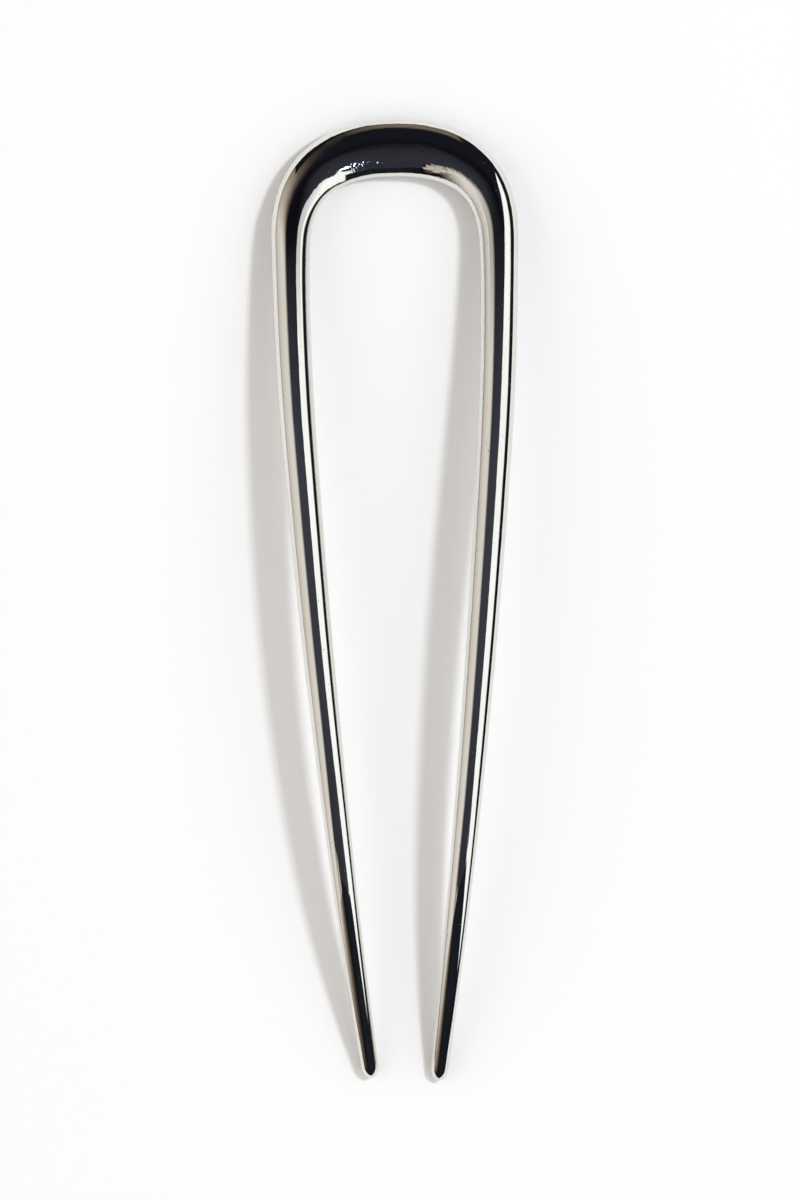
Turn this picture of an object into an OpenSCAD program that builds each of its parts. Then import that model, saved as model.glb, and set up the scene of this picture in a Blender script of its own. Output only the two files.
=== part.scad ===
// U-shaped hairpin, cast in one piece and polished all over.
// It lies flat: X runs across the two legs, Y runs from the tips to the crown, Z is up.
// The bar is an oval section swept flat from one tip, over the crown, to the other tip, and then bent
// into a gentle arch, seen from the side: the crown and the tips touch the surface, the legs stand clear.

/* [Overall] */
// Length from the top of the crown to the ends of the tips
pin_length = 130; // [110:1:150]
// Height that the middle of the legs is arched above a flat pin
arch_rise = 7.1; // [0:0.1:9]

/* [Crown] */
// Distance between the centre lines of the legs where they leave the crown
crown_span = 28.2; // [24:0.1:34]
// Rise of the centre line from the start of the legs to the top of the crown
crown_rise = 13; // [10:0.5:16]
// Squareness of the crown's bend: 2 is an ellipse, more is squarer
crown_squareness = 2.42; // [2:0.02:3]
// Width of the bar at the top of the crown
crown_width = 7.6; // [6:0.1:9]
// Length of pin over which the wide crown narrows to the width of the legs
crown_fade = 7; // [5:0.5:10]

/* [Legs] */
// Width of the bar where a leg starts
leg_width = 5.1; // [4:0.1:6]
// Width of the bar just above the rounded tip
tip_width = 2.3; // [1.6:0.1:3]
// How late the leg narrows: 1 is an even taper, more keeps the width longer
leg_taper = 1.7; // [1:0.1:2.5]
// Distance between the centre lines at the tips
tip_span = 9; // [8:0.1:12]
// Length of the gentle bend where a leg starts to lean inward
bend_length = 28; // [20:1:40]
// Inward lean of a leg after that bend, in millimetres for each millimetre
bend_slope = 0.072; // [0.03:0.001:0.08]

/* [Section] */
// Thickness of the bar as a share of the leg's width
thickness_share = 0.85; // [0.7:0.01:1]
// Length of the rounded end of a tip
tip_round = 1.7; // [1:0.1:3]

/* [Hidden] */

METAL = [0.80, 0.78, 0.74];
// Sides of the oval section, and steps along half of the crown, a leg and a rounded tip
SIDES = 28;
CROWN_STEPS = 28;
LEG_STEPS = 42;
TIP_STEPS = 7;
// Shape of the crown's narrowing: more starts slower
FADE_POWER = 1.3;
// Highest value of the arch's curve, u - u^3, for u from 0 at the crown to 1 at the tips
ARCH_PEAK = 2 / sqrt(27);
// Length over which the arch's slope is taken
SLOPE_STEP = 0.5;

leg_length = pin_length - crown_rise - crown_width / 2;
line_length = crown_rise + leg_length;
crown_extra = crown_width - leg_width;
straight_length = leg_length - bend_length;
// The leg's lean grows evenly from the bend to the tip, which brings the tips to their span
bent_in = bend_slope * bend_length / 2;
still_to_go = (crown_span - tip_span) / 2 - bent_in - bend_slope * straight_length;
lean_growth = 2 * still_to_go / straight_length;

// Sizes of the bar at a distance from the top of the crown's centre line, measured along Y
function leg_share(d) = pow(max(0, d) / line_length, leg_taper);
function plain_width(d) = leg_width - (leg_width - tip_width) * leg_share(d);
function bar_width(d) = plain_width(d) + crown_extra * exp(-pow(d / crown_fade, FADE_POWER));
function bar_thickness(d) = thickness_share * plain_width(d);

// Height and slope of the arched centre line
function arch(d) = let (u = d / line_length) arch_rise / ARCH_PEAK * (u - u * u * u);
function rise(d) = bar_thickness(d) / 2 + arch(d);
function slope(d) = (rise(d + SLOPE_STEP) - rise(d - SLOPE_STEP)) / (2 * SLOPE_STEP);

// Centre line of the right half in plan, from the top of the crown to the tip
function crown_point(angle) = [
    crown_span / 2 * pow(cos(angle), 2 / crown_squareness),
    crown_rise * pow(sin(angle), 2 / crown_squareness)
];
function leg_x(v) = v < bend_length
    ? crown_span / 2 - bend_slope * v * v / (2 * bend_length)
    : let (w = v - bend_length)
        crown_span / 2 - bent_in - bend_slope * w - lean_growth * w * w / (2 * straight_length);

leg_end = leg_length - tip_round;
plan_half = [
    for (i = [0 : CROWN_STEPS]) crown_point(90 - 90 * i / CROWN_STEPS),
    for (i = [1 : LEG_STEPS]) let (v = leg_end * i / LEG_STEPS) [leg_x(v), -v],
    for (i = [1 : TIP_STEPS]) let (v = leg_end + tip_round * sin(90 * i / TIP_STEPS)) [leg_x(v), -v]
];

// The whole centre line in plan, from the left tip over the crown to the right tip
last = len(plan_half) - 1;
centre_line = [
    for (i = [last : -1 : 1]) [-plan_half[i].x, plan_half[i].y],
    for (p = plan_half) p
];
rings = len(centre_line);

// How much of the section is left: all of it, then less and less over the rounded tip
function end_share(p) = let (over = max(0, -p.y - leg_end) / tip_round) sqrt(max(0, 1 - over * over));

// A point of the flat pin, with its height above the centre line, is bent into the arch
function arched(p, height) = let (
    d = crown_rise - p.y,
    s = slope(d),
    lift = height / sqrt(1 + s * s)
) [p.x, p.y + lift * s, rise(d) + lift];

function unit(v) = v / norm(v);
function tangent(i) = unit(centre_line[min(i + 1, rings - 1)] - centre_line[max(i - 1, 0)]);
function ring(i) = let (
    p = centre_line[i],
    d = max(0, crown_rise - p.y),
    along = tangent(i),
    outward = [-along.y, along.x],
    half_width = bar_width(d) / 2 * end_share(p),
    half_thickness = bar_thickness(d) / 2 * end_share(p)
) [for (k = [0 : SIDES - 1]) let (a = 360 * k / SIDES)
    arched(p + outward * half_width * cos(a), half_thickness * sin(a))];

// The first and last rings have shrunk to points, so the skin closes on one point at each tip
skin = [for (i = [1 : rings - 2]) each ring(i)];
poles = [arched(centre_line[0], 0), arched(centre_line[rings - 1], 0)];
raw_points = concat(skin, poles);
bands = rings - 3;
first_pole = len(skin);
second_pole = first_pole + 1;
last_ring = bands * SIDES;

// The origin goes to the middle of the box that the pin fills, on the surface it lies on
ys = [for (p = raw_points) p.y];
zs = [for (p = raw_points) p.z];
rest = [0, -(max(ys) + min(ys)) / 2, -min(zs)];
points = [for (p = raw_points) p + rest];

faces = [
    for (i = [0 : bands - 1], k = [0 : SIDES - 1])
        let (a = i * SIDES, b = a + SIDES, n = (k + 1) % SIDES) each [
            [a + k, b + k, a + n],
            [a + n, b + k, b + n]
        ],
    for (k = [0 : SIDES - 1]) let (n = (k + 1) % SIDES) each [
        [first_pole, k, n],
        [second_pole, last_ring + n, last_ring + k]
    ]
];

module pin() {
    color(METAL) polyhedron(points = points, faces = faces);
}

pin();
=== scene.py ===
"""A polished, U-shaped metal hairpin that lies on a pale surface, under soft studio light."""
import math

import bpy
import numpy as np
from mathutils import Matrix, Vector


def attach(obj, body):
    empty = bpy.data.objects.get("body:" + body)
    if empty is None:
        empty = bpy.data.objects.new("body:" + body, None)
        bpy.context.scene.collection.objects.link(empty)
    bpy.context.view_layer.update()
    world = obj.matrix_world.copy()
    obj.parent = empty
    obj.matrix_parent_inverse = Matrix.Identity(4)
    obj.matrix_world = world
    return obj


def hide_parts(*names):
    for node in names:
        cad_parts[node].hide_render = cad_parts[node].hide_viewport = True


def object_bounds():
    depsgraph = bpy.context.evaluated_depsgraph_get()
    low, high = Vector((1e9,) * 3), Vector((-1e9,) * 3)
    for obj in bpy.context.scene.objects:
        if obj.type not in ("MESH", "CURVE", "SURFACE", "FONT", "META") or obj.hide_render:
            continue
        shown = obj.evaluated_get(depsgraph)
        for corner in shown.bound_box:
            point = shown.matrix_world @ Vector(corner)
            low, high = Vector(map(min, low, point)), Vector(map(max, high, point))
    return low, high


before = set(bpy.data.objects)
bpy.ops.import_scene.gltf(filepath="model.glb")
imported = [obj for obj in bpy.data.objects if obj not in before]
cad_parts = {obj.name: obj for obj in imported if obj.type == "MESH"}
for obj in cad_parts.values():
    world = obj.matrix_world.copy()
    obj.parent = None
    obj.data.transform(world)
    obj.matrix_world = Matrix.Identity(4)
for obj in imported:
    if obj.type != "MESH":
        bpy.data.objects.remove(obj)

CAD_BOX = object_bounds()
MM = 0.001

# Sizes of the pin in metres, the same as in the CAD model
PIN_LENGTH = 130 * MM
ARCH_RISE = 7.1 * MM
CROWN_SPAN = 28.2 * MM
CROWN_RISE = 13 * MM
CROWN_SQUARENESS = 2.42
CROWN_WIDTH = 7.6 * MM
CROWN_FADE = 7 * MM
FADE_POWER = 1.3
LEG_WIDTH = 5.1 * MM
TIP_WIDTH = 2.3 * MM
LEG_TAPER = 1.7
TIP_SPAN = 9 * MM
BEND_LENGTH = 28 * MM
BEND_SLOPE = 0.072
THICKNESS_SHARE = 0.85
TIP_ROUND = 1.7 * MM

LEG_LENGTH = PIN_LENGTH - CROWN_RISE - CROWN_WIDTH / 2
LINE_LENGTH = CROWN_RISE + LEG_LENGTH
STRAIGHT_LENGTH = LEG_LENGTH - BEND_LENGTH
BENT_IN = BEND_SLOPE * BEND_LENGTH / 2
STILL_TO_GO = (CROWN_SPAN - TIP_SPAN) / 2 - BENT_IN - BEND_SLOPE * STRAIGHT_LENGTH
LEAN_GROWTH = 2 * STILL_TO_GO / STRAIGHT_LENGTH
# Highest value of the arch's curve, u - u^3, for u from 0 at the crown to 1 at the tips
ARCH_PEAK = 2 / math.sqrt(27)
# Length over which the arch's slope is taken
SLOPE_STEP = 0.5 * MM

# How finely the pin is meshed
SIDES = 96
HALF_RINGS = 300
TIP_RINGS = 14
FINE_STEPS = 4000

# How far the left tip is drawn towards the crown, and the right tip away from it
TIP_LEAD = 0.25 * MM

# Traces of handwork. The place is the distance along the bar from the top of the crown, less than zero
# in the left half, and the reach is how far a trace spreads to each side.
# shift: the bar lies further out, in metres. roll: its outer side is higher, in degrees.
# squareness and thickness: what is added to the oval's power and to the thickness share.
HANDWORK = (
    # what, place, reach, amount
    ("shift", -12 * MM, 9 * MM, -0.14 * MM),
    ("shift", -18 * MM, 4 * MM, -0.06 * MM),
    ("shift", -78 * MM, 16 * MM, 0.08 * MM),
    ("shift", -112 * MM, 20 * MM, 0.16 * MM),
    ("roll", -16 * MM, 4 * MM, -6),
    ("roll", -102 * MM, 8 * MM, 4),
    ("thickness", -15 * MM, 5 * MM, -0.12),
    ("squareness", -9 * MM, 4 * MM, -0.22),
    ("squareness", -107 * MM, 14 * MM, 0.45),
    ("shift", 18 * MM, 4 * MM, -0.07 * MM),
    ("shift", 95 * MM, 25 * MM, 0.04 * MM),
    ("roll", 0, 5 * MM, 2),
    ("thickness", 0, 5 * MM, -0.04),
    ("squareness", 0, 4 * MM, 0.2),
    ("roll", 9 * MM, 5 * MM, 3.5),
    ("roll", 26 * MM, 5 * MM, 3),
    ("roll", 102 * MM, 8 * MM, 2.5),
    ("thickness", 11 * MM, 4 * MM, 0.08),
    ("squareness", 110 * MM, 12 * MM, 0.3),
    ("thickness", -134 * MM, 9 * MM, 0.09),
    ("thickness", 134 * MM, 9 * MM, 0.07),
    ("squareness", -134 * MM, 8 * MM, -0.25),
    ("squareness", 134 * MM, 8 * MM, -0.35),
)

# Depth of each kind of unevenness in the polish
SWELL_DEPTH = 0.010 * MM
RIPPLE_DEPTH = 0.010 * MM
FILED_DEPTH = 0.018 * MM
LINE_DEPTH = 0.0008 * MM
PEEL_DEPTH = 0.030 * MM
PIT_DEPTH = 0.004 * MM
# What a pit adds to the roughness
PIT_ROUGHNESS = 0.2

# The camera looks straight down. Its frame is as high as the photograph, which has 1200 rows of pixels,
# and PIXEL is the length on the tabletop that one of them shows.
FRAME_PIXELS = 1200
PIXEL = 0.1357 * MM
CAMERA_HEIGHT = 1.0
CAMERA_X = 0.12 * MM
CAMERA_ROLL = math.radians(0.72)
SENSOR = 36.0

BLACK = (0, 0, 0)
WHITE = (1, 1, 1)


def widths(down):
    """Width and thickness of the bar at distances down from the top of the crown, along Y."""
    down = np.maximum(down, 0)
    plain = LEG_WIDTH - (LEG_WIDTH - TIP_WIDTH) * (down / LINE_LENGTH) ** LEG_TAPER
    broad = (CROWN_WIDTH - LEG_WIDTH) * np.exp(-((down / CROWN_FADE) ** FADE_POWER))
    return plain + broad, THICKNESS_SHARE * plain


def rise(down):
    """Height of the centre line: half the thickness, plus an arch that peaks past halfway to the tips."""
    share = down / LINE_LENGTH
    return widths(down)[1] / 2 + ARCH_RISE / ARCH_PEAK * (share - share**3)


def slope(down):
    """Rise of the centre line for each metre towards the tips."""
    return (rise(down + SLOPE_STEP) - rise(down - SLOPE_STEP)) / (2 * SLOPE_STEP)


def plan_line():
    """Fine points of the right half's centre line in plan, from the top of the crown to the tip."""
    angle = np.linspace(math.pi / 2, 0, FINE_STEPS)
    crown_x = CROWN_SPAN / 2 * np.maximum(np.cos(angle), 0) ** (2 / CROWN_SQUARENESS)
    crown_y = CROWN_RISE * np.sin(angle) ** (2 / CROWN_SQUARENESS)
    below = np.linspace(0, LEG_LENGTH, FINE_STEPS)[1:]
    bent = CROWN_SPAN / 2 - BEND_SLOPE * below**2 / (2 * BEND_LENGTH)
    past = below - BEND_LENGTH
    lean = BEND_SLOPE * past + LEAN_GROWTH * past**2 / (2 * STRAIGHT_LENGTH)
    straight = CROWN_SPAN / 2 - BENT_IN - lean
    leg_x = np.where(below < BEND_LENGTH, bent, straight)
    return np.concatenate([crown_x, leg_x]), np.concatenate([crown_y, -below])


def handwork(what, travel):
    """Sum of the traces of one kind at signed distances along the bar."""
    total = np.zeros_like(travel)
    for kind, place, reach, amount in HANDWORK:
        if kind == what:
            total += amount * np.exp(-(((travel - place) / reach) ** 2))
    return total


def half_sections(side):
    """Centres, half widths, half thicknesses and signed travel from the top of the crown to one tip."""
    x, y = plan_line()
    travel = np.concatenate([[0], np.cumsum(np.hypot(np.diff(x), np.diff(y)))])
    round_start = travel[-1] - TIP_ROUND
    quarter = np.linspace(0, math.pi / 2, TIP_RINGS + 1)[1:]
    stops = np.concatenate([
        np.linspace(0, round_start, HALF_RINGS),
        round_start + TIP_ROUND * np.sin(quarter),
    ])
    x = np.interp(stops, travel, x)
    y = np.interp(stops, travel, y)
    down = CROWN_RISE - y
    width, thickness = widths(down)
    over = np.clip((stops - round_start) / TIP_ROUND, 0, 1)
    end_share = np.sqrt(1 - over**2)
    y = y - side * TIP_LEAD * down / LINE_LENGTH
    centres = np.stack([side * x, y], axis=1)
    return centres, width / 2 * end_share, thickness / 2 * end_share, side * stops


def all_sections():
    """The sections of the whole bar, from the left tip over the crown to the right tip."""
    halves = zip(half_sections(-1), half_sections(1))
    return [np.concatenate([left[:0:-1], right]) for left, right in halves]


def arched(flat):
    """Points of the flat pin after it is bent into its arch."""
    down = CROWN_RISE - flat[..., 1]
    lean = slope(down)
    lift = flat[..., 2] / np.hypot(1, lean)
    return np.stack([flat[..., 0], flat[..., 1] + lift * lean, rise(down) + lift], axis=-1)


def rounded(share, power):
    """A sine or cosine raised to a power, with its sign kept."""
    return np.sign(share) * np.abs(share) ** power


def pin_vertices():
    """Rings of points round the bar, with one point at each tip, placed as the CAD pin lies."""
    centres, half_width, half_thickness, travel = all_sections()
    half_thickness = half_thickness * (1 + handwork("thickness", travel) / THICKNESS_SHARE)
    power = (2 / (2 + handwork("squareness", travel)))[:, None]
    roll = np.radians(handwork("roll", travel))
    along = np.empty_like(centres)
    along[1:-1] = centres[2:] - centres[:-2]
    along[0] = centres[1] - centres[0]
    along[-1] = centres[-1] - centres[-2]
    along /= np.linalg.norm(along, axis=1, keepdims=True)
    outward = np.stack([-along[:, 1], along[:, 0]], axis=1)
    centres = centres + outward * handwork("shift", travel)[:, None]
    # The seam of the map runs along the underside
    angle = np.linspace(0, 2 * math.pi, SIDES, endpoint=False) - math.pi / 2
    wide = half_width[:, None] * rounded(np.cos(angle), power)
    high = half_thickness[:, None] * rounded(np.sin(angle), power)
    across = wide * np.cos(roll)[:, None] - high * np.sin(roll)[:, None]
    lift = wide * np.sin(roll)[:, None] + high * np.cos(roll)[:, None]
    plan = centres[:, None] + outward[:, None] * across[..., None]
    rings = arched(np.concatenate([plan, lift[..., None]], axis=-1))
    tips = rings[[0, -1], 0]
    points = np.concatenate([rings[1:-1].reshape(-1, 3), tips])
    points[:, 1] += CAD_BOX[1].y - points[:, 1].max()
    points[:, 2] -= points[:, 2].min()
    return points, travel


def pin_faces(ring_count):
    """Quads between neighbouring rings, and a fan of triangles at each tip."""
    ring = np.arange(SIDES)
    following = (ring + 1) % SIDES
    faces = []
    for step in range(ring_count - 1):
        here = step * SIDES
        there = here + SIDES
        quads = np.stack([here + ring, there + ring, there + following, here + following], axis=1)
        faces.extend(quads.tolist())
    left_tip = ring_count * SIDES
    right_tip = left_tip + 1
    last = (ring_count - 1) * SIDES
    faces.extend(np.stack([np.full(SIDES, left_tip), ring, following], axis=1).tolist())
    faces.extend(np.stack([np.full(SIDES, right_tip), last + following, last + ring], axis=1).tolist())
    return faces


def map_of_bar(mesh, travel):
    """Map of the surface in metres: along the bar, and round it from the underside."""
    points = np.array([vertex.co for vertex in mesh.vertices])[:-2].reshape(-1, SIDES, 3)
    steps = np.linalg.norm(np.roll(points, -1, axis=1) - points, axis=2)
    ends = np.cumsum(steps, axis=1)
    starts = ends - steps
    layer = mesh.uv_layers.new(name="bar_map")
    last_ring = len(points) - 1
    for face in mesh.polygons:
        corners = list(face.vertices)
        # A face on the seam ends at the whole way round the bar, not back at its start
        before_seam = any(corner % SIDES == SIDES - 1 for corner in corners[:2])
        on_seam = before_seam and any(corner % SIDES == 0 for corner in corners)
        for corner, loop in zip(corners, face.loop_indices):
            ring, side = divmod(corner, SIDES)
            if ring > last_ring:
                ring = 0 if corner == len(mesh.vertices) - 2 else last_ring
                side = corners[1] % SIDES
            around = ends[ring, -1] if on_seam and side == 0 else starts[ring, side]
            layer.data[loop].uv = (travel[ring + 1], around)


def make_pin():
    """The whole hairpin as one smooth mesh, with a map of the distance along and round the bar."""
    points, travel = pin_vertices()
    mesh = bpy.data.meshes.new("hairpin")
    mesh.from_pydata(points.tolist(), [], pin_faces(len(travel) - 2))
    mesh.polygons.foreach_set("use_smooth", [True] * len(mesh.polygons))
    mesh.update()
    map_of_bar(mesh, travel)
    obj = bpy.data.objects.new("hairpin", mesh)
    bpy.context.scene.collection.objects.link(obj)
    return obj


def node_material(name):
    """An empty node material, its node tree and its output."""
    material = bpy.data.materials.new(name)
    material.use_nodes = True
    tree = material.node_tree
    tree.nodes.clear()
    return material, tree, tree.nodes.new("ShaderNodeOutputMaterial").inputs["Surface"]


def math_node(tree, operation, first, second):
    """A math node; each input is a socket or a number."""
    node = tree.nodes.new("ShaderNodeMath")
    node.operation = operation
    for socket, value in zip(node.inputs, (first, second)):
        if isinstance(value, (int, float)):
            socket.default_value = value
        else:
            tree.links.new(value, socket)
    return node.outputs[0]


def times(tree, first, second):
    """The product of two values."""
    return math_node(tree, "MULTIPLY", first, second)


def grain(tree, bar_map, along, around, detail=2.0):
    """Noise from 0 to 1 whose patches are so many metres long along the bar and round it."""
    stretch = tree.nodes.new("ShaderNodeVectorMath")
    stretch.operation = "MULTIPLY"
    stretch.inputs[1].default_value = (1 / along, 1 / around, 1)
    tree.links.new(bar_map, stretch.inputs[0])
    noise = tree.nodes.new("ShaderNodeTexNoise")
    noise.noise_dimensions = "2D"
    noise.inputs["Scale"].default_value = 1
    noise.inputs["Detail"].default_value = detail
    tree.links.new(stretch.outputs[0], noise.inputs["Vector"])
    return noise.outputs["Fac"]


def remap(tree, value, low, high, to_low=0.0, to_high=1.0):
    """A value from low to high taken smoothly to another range, and held there past its ends."""
    node = tree.nodes.new("ShaderNodeMapRange")
    node.interpolation_type = "SMOOTHSTEP"
    node.inputs["From Min"].default_value = low
    node.inputs["From Max"].default_value = high
    node.inputs["To Min"].default_value = to_low
    node.inputs["To Max"].default_value = to_high
    tree.links.new(value, node.inputs["Value"])
    return node.outputs["Result"]


def patch(tree, split, along, around, half_length, half_width):
    """A soft-edged patch of the bar's map: 1 in its middle, and 0 past its faded edge."""
    # It has faded out at this many times its half sizes
    fade = 2.4
    shares = []
    for axis, middle, half in (("X", along, half_length), ("Y", around, half_width)):
        away = math_node(tree, "ABSOLUTE", math_node(tree, "SUBTRACT", split.outputs[axis], middle), 0)
        shares.append(remap(tree, away, half, fade * half, 1, 0))
    return times(tree, *shares)


def relief(tree, height, depth, under=None):
    """A bump of a depth in metres, laid over the bump under it."""
    bump = tree.nodes.new("ShaderNodeBump")
    bump.inputs["Strength"].default_value = 1
    bump.inputs["Distance"].default_value = depth
    tree.links.new(height, bump.inputs["Height"])
    if under is not None:
        tree.links.new(under, bump.inputs["Normal"])
    return bump.outputs["Normal"]


def polished_metal():
    """Warm silver-coloured plating with a mirror polish that isn't quite even.

    The surface swells a little and is rippled, most of all where the crown was filed. A small patch of
    the crown's inner slope is pebbled. Fine polishing lines run along the bar, and it has pinpoint pits,
    which are darker and duller.
    """
    material, tree, surface = node_material("polished_metal")
    new = tree.nodes.new
    link = tree.links.new
    shader = new("ShaderNodeBsdfPrincipled")
    shader.inputs["Metallic"].default_value = 1
    bar_map = new("ShaderNodeUVMap")
    bar_map.uv_map = "bar_map"
    place = bar_map.outputs["UV"]
    split = new("ShaderNodeSeparateXYZ")
    link(place, split.inputs[0])
    from_top = math_node(tree, "ABSOLUTE", split.outputs["X"], 0)
    in_crown = remap(tree, from_top, 9 * MM, 20 * MM, to_low=1, to_high=0.12)
    coarse = patch(tree, split, along=-4 * MM, around=11.4 * MM, half_length=1.5 * MM, half_width=0.5 * MM)
    filed = patch(tree, split, along=6 * MM, around=11.2 * MM, half_length=2 * MM, half_width=1 * MM)

    swells = grain(tree, place, along=9 * MM, around=3.5 * MM, detail=1)
    ripples = grain(tree, place, along=2.2 * MM, around=0.6 * MM)
    lines = grain(tree, place, along=6 * MM, around=0.12 * MM, detail=3)
    peel = grain(tree, place, along=0.46 * MM, around=0.38 * MM, detail=1)
    specks = grain(tree, place, along=0.35 * MM, around=0.3 * MM, detail=1)
    pits = remap(tree, specks, low=0.80, high=0.84)

    normal = relief(tree, swells, SWELL_DEPTH)
    normal = relief(tree, times(tree, ripples, in_crown), RIPPLE_DEPTH, normal)
    normal = relief(tree, times(tree, ripples, filed), FILED_DEPTH, normal)
    normal = relief(tree, lines, LINE_DEPTH, normal)
    normal = relief(tree, times(tree, peel, coarse), PEEL_DEPTH, normal)
    normal = relief(tree, pits, -PIT_DEPTH, normal)
    link(normal, shader.inputs["Normal"])

    blotches = grain(tree, place, along=14 * MM, around=4 * MM)
    haze = remap(tree, blotches, low=0.35, high=0.75, to_low=0.025, to_high=0.055)
    scuffs = remap(tree, lines, low=0.62, high=0.80, to_low=0, to_high=0.05)
    dull = times(tree, pits, PIT_ROUGHNESS)
    roughness = math_node(tree, "ADD", math_node(tree, "ADD", haze, scuffs), dull)
    link(roughness, shader.inputs["Roughness"])

    tone = new("ShaderNodeMix")
    tone.data_type = "RGBA"
    tone.inputs["A"].default_value = (0.80, 0.785, 0.745, 1)
    tone.inputs["B"].default_value = (0.77, 0.75, 0.705, 1)
    tinges = grain(tree, place, along=20 * MM, around=5 * MM)
    link(remap(tree, tinges, low=0.3, high=0.7), tone.inputs["Factor"])
    stain = new("ShaderNodeMix")
    stain.data_type = "RGBA"
    stain.inputs["B"].default_value = (0.30, 0.25, 0.20, 1)
    link(pits, stain.inputs["Factor"])
    link(tone.outputs["Result"], stain.inputs["A"])
    link(stain.outputs["Result"], shader.inputs["Base Color"])
    link(shader.outputs[0], surface)
    return material


def flat_piece(name, corners, material):
    """One flat face through its corners, which isn't part of the hairpin."""
    mesh = bpy.data.meshes.new(name)
    mesh.from_pydata(corners, [], [list(range(len(corners)))])
    mesh.materials.append(material)
    obj = bpy.data.objects.new(name, mesh)
    bpy.context.scene.collection.objects.link(obj)
    return obj


def mirrored_piece(name, corners, material, lights=False):
    """A flat piece that the metal mirrors, out of the camera's sight. It may light the floor too."""
    obj = flat_piece(name, corners, material)
    obj.visible_camera = False
    obj.visible_shadow = False
    obj.visible_diffuse = lights
    return obj


def shaded(tree, axis, stops):
    """Colour that changes along X, Y or Z of the object through stops of (metres, colour)."""
    place = tree.nodes.new("ShaderNodeTexCoord")
    split = tree.nodes.new("ShaderNodeSeparateXYZ")
    tree.links.new(place.outputs["Object"], split.inputs[0])
    low = stops[0][0]
    high = stops[-1][0]
    share = tree.nodes.new("ShaderNodeMapRange")
    share.inputs["From Min"].default_value = low
    share.inputs["From Max"].default_value = high
    tree.links.new(split.outputs[axis], share.inputs["Value"])
    ramp = tree.nodes.new("ShaderNodeValToRGB")
    elements = ramp.color_ramp.elements
    elements.remove(elements[-1])
    for number, (metres, colour) in enumerate(stops):
        position = (metres - low) / (high - low)
        element = elements[0] if number == 0 else elements.new(position)
        element.position = position
        element.color = (*colour, 1)
    tree.links.new(share.outputs["Result"], ramp.inputs["Fac"])
    return ramp.outputs["Color"]


def plain(colour):
    """A shade of one colour all over, because the render differs a little if a socket holds the colour."""
    return "X", ((0, colour), (1, colour))


def product_of_shades(tree, shades):
    """The colours of all the shades, multiplied together."""
    colour = shaded(tree, *shades[0])
    for axis, stops in shades[1:]:
        product = tree.nodes.new("ShaderNodeVectorMath")
        product.operation = "MULTIPLY"
        tree.links.new(colour, product.inputs[0])
        tree.links.new(shaded(tree, axis, stops), product.inputs[1])
        colour = product.outputs[0]
    return colour


def sum_of_shaders(tree, first, second):
    """Two shaders added together."""
    both = tree.nodes.new("ShaderNodeAddShader")
    tree.links.new(first.outputs[0], both.inputs[0])
    tree.links.new(second.outputs[0], both.inputs[1])
    return both


def card(name, corners, *shades, lights=True, clear=False):
    """A glowing studio card, coloured by its shades. What is behind a clear card shows."""
    material, tree, surface = node_material(name)
    shader = tree.nodes.new("ShaderNodeEmission")
    tree.links.new(product_of_shades(tree, shades), shader.inputs["Color"])
    if clear:
        shader = sum_of_shaders(tree, shader, tree.nodes.new("ShaderNodeBsdfTransparent"))
    tree.links.new(shader.outputs[0], surface)
    return mirrored_piece(name, corners, material, lights)


def upright(axis, place, low, high, bottom, top):
    """Corners of an upright rectangle that stands across X or Y."""
    ends = ((low, bottom), (high, bottom), (high, top), (low, top))
    if axis == "X":
        return [(place, across, z) for across, z in ends]
    return [(across, place, z) for across, z in ends]


def level(height, x_low, x_high, y_low, y_high):
    """Corners of a level rectangle."""
    ends = ((x_low, y_low), (x_high, y_low), (x_high, y_high), (x_low, y_high))
    return [(x, y, height) for x, y in ends]


def make_softbox():
    """The large cool light to the right. Its far edge leans towards the pin."""
    place = 1
    near = -3.1
    bottom = 0.46
    top = 3.1
    corners = [(place, near, bottom), (place, 0.92, bottom), (place, 0.45, top), (place, near, top)]
    bright = (1.19, 1.21, 1.22)
    card("softbox", corners, ("Z", ((bottom, (0.1, 0.1, 0.1)), (0.56, bright), (top, bright))))


def make_warm_cards():
    """Two warm cards to the left. The lower one is browner at its foot, and dim at its top and ends."""
    upper = (
        (-4.2, (0.55, 0.50, 0.43)),
        (-2.6, (0.60, 0.56, 0.49)),
        (-1.3, (0.55, 0.51, 0.45)),
        (-0.9, (0.24, 0.21, 0.17)),
        (-0.4, (0.03, 0.03, 0.03)),
    )
    fall = ((1.5, WHITE), (4.0, WHITE), (6.5, (0.7, 0.65, 0.6)))
    corners = upright("X", place=-1.02, low=-4.2, high=-0.4, bottom=1.5, top=6.5)
    card("wall_front", corners, ("Y", upper), ("Z", fall))
    height = (
        (-0.01, (0.30, 0.25, 0.22)),
        (0.10, (0.55, 0.49, 0.46)),
        (0.30, (0.70, 0.66, 0.62)),
        (0.80, (0.83, 0.80, 0.74)),
        (1.45, (0.84, 0.81, 0.75)),
        (1.80, (0.55, 0.53, 0.50)),
        (2.20, (0.16, 0.155, 0.15)),
        (2.80, (0.04, 0.04, 0.04)),
    )
    depth = (
        (-1.7, (0.05, 0.05, 0.05)),
        (-1.2, (0.3, 0.29, 0.25)),
        (-0.6, WHITE),
        (0.5, WHITE),
        (0.8, (0.60, 0.55, 0.49)),
        (1.1, (0.16, 0.12, 0.09)),
        (1.5, (0.05, 0.04, 0.03)),
        (2.4, (0.01, 0.01, 0.01)),
    )
    corners = upright("X", place=-1, low=-1.7, high=2.4, bottom=-0.01, top=2.8)
    card("beige_wall", corners, ("Z", height), ("Y", depth), clear=True)


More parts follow.
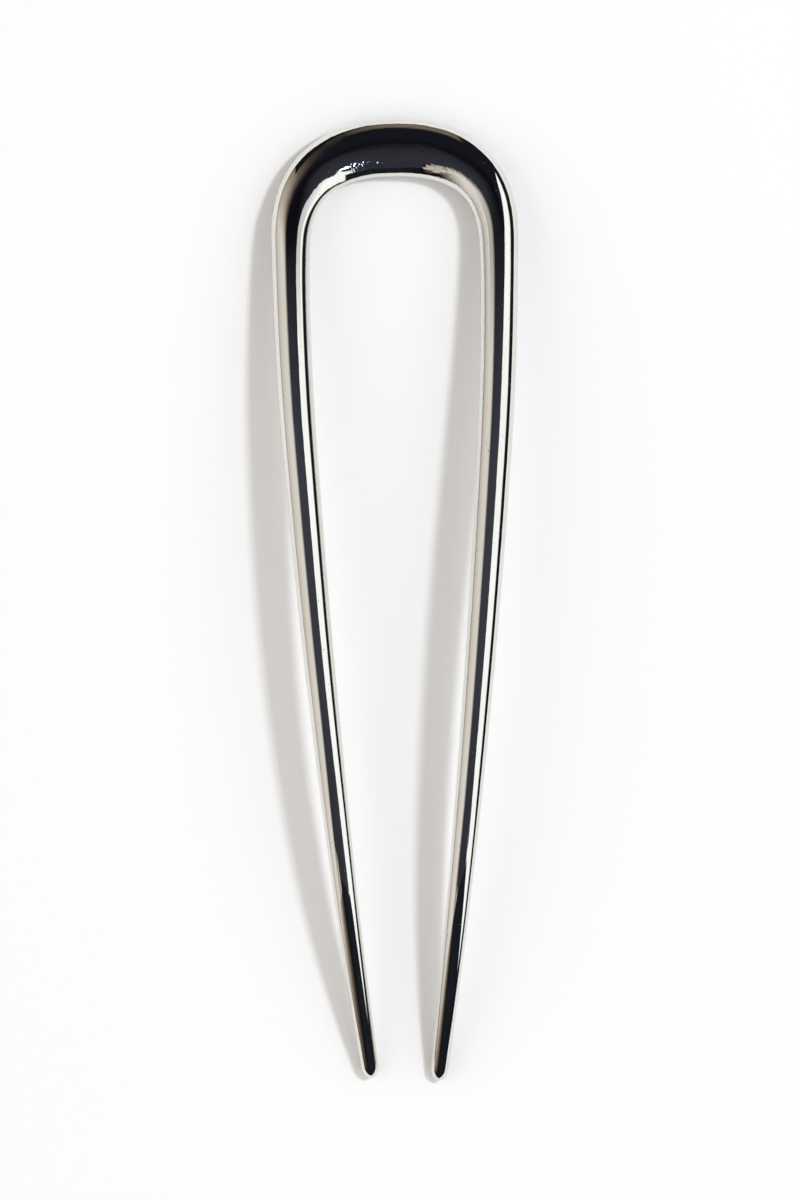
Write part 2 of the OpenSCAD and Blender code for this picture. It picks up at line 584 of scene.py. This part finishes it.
def make_overhead_panel():
    """The dark grey panel overhead, and its front strip, which is narrower and mostly dimmer."""
    depth = (
        (-0.37, (0.033, 0.035, 0.046)),
        (-0.20, (0.040, 0.042, 0.056)),
        (-0.05, (0.048, 0.051, 0.068)),
        (0.20, (0.050, 0.053, 0.071)),
        (0.30, (0.036, 0.038, 0.051)),
        (0.42, (0.012, 0.013, 0.018)),
    )
    corners = level(height=1, x_low=-0.42, x_high=0.44, y_low=-0.37, y_high=0.42)
    card("ceiling", corners, ("Y", depth), lights=False)
    across = ((-0.22, (0.3, 0.25, 0.2)), (-0.14, WHITE), (0.16, WHITE), (0.26, (1.6, 1.6, 1.6)))
    strip = ((-1.0, (0.034, 0.036, 0.050)), (-0.37, (0.031, 0.033, 0.044)))
    corners = level(height=1, x_low=-0.22, x_high=0.26, y_low=-1.0, y_high=-0.37)
    card("front_strip", corners, ("Y", strip), ("X", across), lights=False)


def make_lamp():
    """A small white lamp overhead with a blue fringe, which makes the crown's glint and sparkles."""
    bright = (11, 12, 13)
    across = (
        (0.17, BLACK),
        (0.19, (0.10, 0.16, 0.40)),
        (0.21, (0.20, 0.30, 0.62)),
        (0.225, WHITE),
        (0.26, WHITE),
        (0.29, BLACK),
    )
    depth = ((-0.36, BLACK), (-0.34, bright), (-0.295, bright), (-0.275, BLACK))
    corners = level(height=0.97, x_low=0.17, x_high=0.29, y_low=-0.36, y_high=-0.275)
    card("lamp", corners, ("X", across), ("Y", depth), lights=False, clear=True)


def make_shield():
    """A grey card past the tips, as dim as the panel overhead, which hides the lamp from the legs."""
    place = -0.15
    outline = ((0.040, 0.320), (0.096, 0.320), (0.151, 0.498), (0.060, 0.498))
    corners = [(x, place, z) for x, z in outline]
    card("shield", corners, plain((0.031, 0.033, 0.044)), lights=False)


def make_filter():
    """A small grey filter over the crown, which dims what its top mirrors of the panel overhead."""
    near = 0.044
    far = 0.086
    depth = ((near, WHITE), (0.060, (0.62, 0.62, 0.62)), (0.070, (0.5, 0.5, 0.5)), (far, WHITE))
    material, tree, surface = node_material("flag")
    shader = tree.nodes.new("ShaderNodeBsdfTransparent")
    tree.links.new(shaded(tree, "Y", depth), shader.inputs["Color"])
    tree.links.new(shader.outputs[0], surface)
    corners = level(height=0.04, x_low=-0.03, x_high=0.03, y_low=near, y_high=far)
    mirrored_piece("flag", corners, material)


def make_far_cards():
    """What stands past the crown: a low olive card, a dim brown strip and two dark strips lower down."""
    rise_of_olive = (
        (0.02, (0.16, 0.11, 0.08)),
        (0.12, (0.20, 0.175, 0.135)),
        (0.36, (0.20, 0.175, 0.135)),
        (0.52, (0.04, 0.032, 0.025)),
    )
    spread = (
        (-0.30, (0.2, 0.2, 0.2)),
        (-0.10, (0.75, 0.75, 0.75)),
        (0.0, WHITE),
        (0.30, (0.8, 0.8, 0.8)),
        (0.36, (0.1, 0.1, 0.1)),
    )
    corners = upright("Y", place=1, low=-0.30, high=0.36, bottom=0.02, top=0.52)
    card("olive_panel", corners, ("Z", rise_of_olive), ("X", spread), lights=False)
    brown = ((0.05, (0.06, 0.05, 0.04)), (0.3, (0.045, 0.04, 0.034)), (0.8, (0.010, 0.010, 0.012)))
    corners = upright("Y", place=1, low=-0.46, high=-0.28, bottom=0.05, top=0.8)
    card("brown_strip", corners, ("Z", brown), lights=False)
    dark = plain((0.008, 0.008, 0.009))
    corners = upright("X", place=-0.95, low=0.95, high=2.4, bottom=0.0, top=0.68)
    card("left_skirting", corners, dark, lights=False)
    # The top of the far strip slopes down to the right
    place = 0.97
    outline = ((-0.95, 0.0), (-0.10, 0.0), (-0.10, 0.08), (-0.95, 0.52))
    card("far_skirting", [(x, place, z) for x, z in outline], dark, lights=False)


def make_dark_card():
    """The dark card close to the tips. Its left edge is soft, and its left shoulder slopes."""
    place = -0.084
    outline = (
        (-0.090, 0.003),
        (0.065, 0.003),
        (0.065, 0.140),
        (-0.010, 0.140),
        (-0.045, 0.110),
        (-0.090, 0.070),
    )
    clearness = (
        (-0.090, WHITE),
        (-0.065, (0.58, 0.54, 0.48)),
        (-0.040, (0.20, 0.16, 0.12)),
        (-0.022, BLACK),
        (0.065, BLACK),
    )
    shade = (
        (-0.090, BLACK),
        (-0.022, (0.006, 0.006, 0.008)),
        (0.0, (0.012, 0.015, 0.022)),
        (0.065, (0.008, 0.010, 0.016)),
    )
    material, tree, surface = node_material("post")
    veil = tree.nodes.new("ShaderNodeBsdfTransparent")
    body = tree.nodes.new("ShaderNodeEmission")
    tree.links.new(shaded(tree, "X", clearness), veil.inputs["Color"])
    tree.links.new(shaded(tree, "X", shade), body.inputs["Color"])
    tree.links.new(sum_of_shaders(tree, veil, body).outputs[0], surface)
    mirrored_piece("post", [(x, place, z) for x, z in outline], material)


def make_sky():
    """Even light from overhead, for the tabletop alone."""
    half = 20
    height = 3
    sky = card("sky", level(height, -half, half, -half, half), plain((0.500, 0.472, 0.462)))
    sky.visible_glossy = False


def make_floor():
    """The pale tabletop."""
    half = 1.7
    material, tree, surface = node_material("pale_floor")
    shader = tree.nodes.new("ShaderNodeBsdfDiffuse")
    shader.inputs["Color"].default_value = (0.9, 0.9, 0.9, 1)
    tree.links.new(shader.outputs[0], surface)
    flat_piece("floor", level(0, -half, half, -half, half), material)


def direction(azimuth, elevation):
    """Unit vector at an azimuth from +X towards +Y and an elevation, in degrees."""
    turn = math.radians(azimuth)
    climb = math.radians(elevation)
    return Vector((math.cos(turn) * math.cos(climb), math.sin(turn) * math.cos(climb), math.sin(climb)))


def make_key_light():
    """The square light that casts the shadows. The metal doesn't mirror it."""
    distance = 2
    data = bpy.data.lights.new("key", "AREA")
    data.shape = "SQUARE"
    data.size = 0.24
    data.energy = 17.0
    data.color = (0.88, 0.95, 1)
    place = direction(azimuth=20, elevation=57) * distance
    obj = bpy.data.objects.new("key", data)
    obj.location = place
    obj.rotation_euler = (-place).to_track_quat("-Z", "Y").to_euler()
    obj.visible_camera = False
    obj.visible_glossy = False
    bpy.context.scene.collection.objects.link(obj)


def make_studio():
    """The tabletop, all the cards and the one light."""
    make_floor()
    make_softbox()
    make_warm_cards()
    make_overhead_panel()
    make_lamp()
    make_sky()
    make_filter()
    make_far_cards()
    make_dark_card()
    make_shield()
    make_key_light()


def make_world():
    """A pale backdrop for the camera, and a dark room for the metal to mirror."""
    world = bpy.data.worlds.new("studio")
    world.use_nodes = True
    tree = world.node_tree
    tree.nodes.clear()
    out = tree.nodes.new("ShaderNodeOutputWorld")
    path = tree.nodes.new("ShaderNodeLightPath")
    backdrop = tree.nodes.new("ShaderNodeBackground")
    backdrop.inputs["Color"].default_value = (0.947, 0.947, 0.947, 1)
    room = tree.nodes.new("ShaderNodeBackground")
    room.inputs["Color"].default_value = (0.009, 0.0105, 0.016, 1)
    mixed = tree.nodes.new("ShaderNodeMixShader")
    tree.links.new(path.outputs["Is Camera Ray"], mixed.inputs["Fac"])
    tree.links.new(room.outputs[0], mixed.inputs[1])
    tree.links.new(backdrop.outputs[0], mixed.inputs[2])
    tree.links.new(mixed.outputs[0], out.inputs["Surface"])
    bpy.context.scene.world = world


def make_camera():
    """The camera above the pin, turned a little as the photograph is."""
    data = bpy.data.cameras.new("camera")
    data.sensor_fit = "AUTO"
    data.sensor_width = SENSOR
    data.lens = SENSOR * CAMERA_HEIGHT / (FRAME_PIXELS * PIXEL)
    obj = bpy.data.objects.new("camera", data)
    obj.location = (CAMERA_X, 0, CAMERA_HEIGHT)
    obj.rotation_euler = (0, 0, -CAMERA_ROLL)
    bpy.context.scene.collection.objects.link(obj)
    bpy.context.scene.camera = obj


make_camera()
make_studio()
make_world()
pin = make_pin()
pin.data.materials.append(polished_metal())
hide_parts("pin")
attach(pin, "root")
bpy.context.scene.view_settings.view_transform = "Standard"
